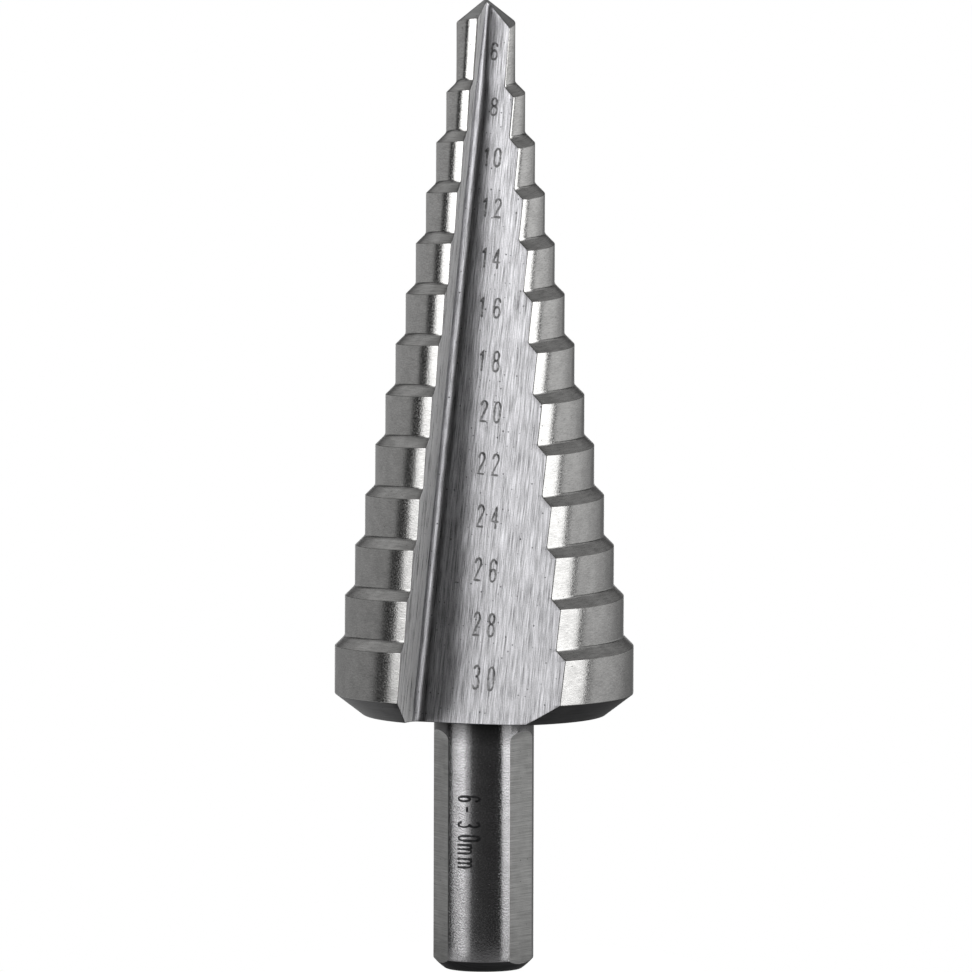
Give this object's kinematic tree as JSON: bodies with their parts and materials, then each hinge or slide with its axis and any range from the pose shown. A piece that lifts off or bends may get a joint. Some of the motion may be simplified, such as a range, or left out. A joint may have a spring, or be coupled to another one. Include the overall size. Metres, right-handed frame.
{
  "type": "step drill bit",
  "caption": "Stepped cone drill bit with straight flutes and a flatted shank, for drilling and widening round holes in sheet metal.",
  "frame": {"origin": "centre of the shank's flat end, on the axis of rotation", "axes": "+Z along the axis from the shank's end to the point, -Y the side that shows one flute from edge to edge"},
  "size_m": [0.0298, 0.0256, 0.0971],
  "materials": {
    "ground_steel": "ground, bright"
  },
  "bodies": {
    "root": {"step_drill_bit": "ground_steel"}
  },
  "joints": []
}
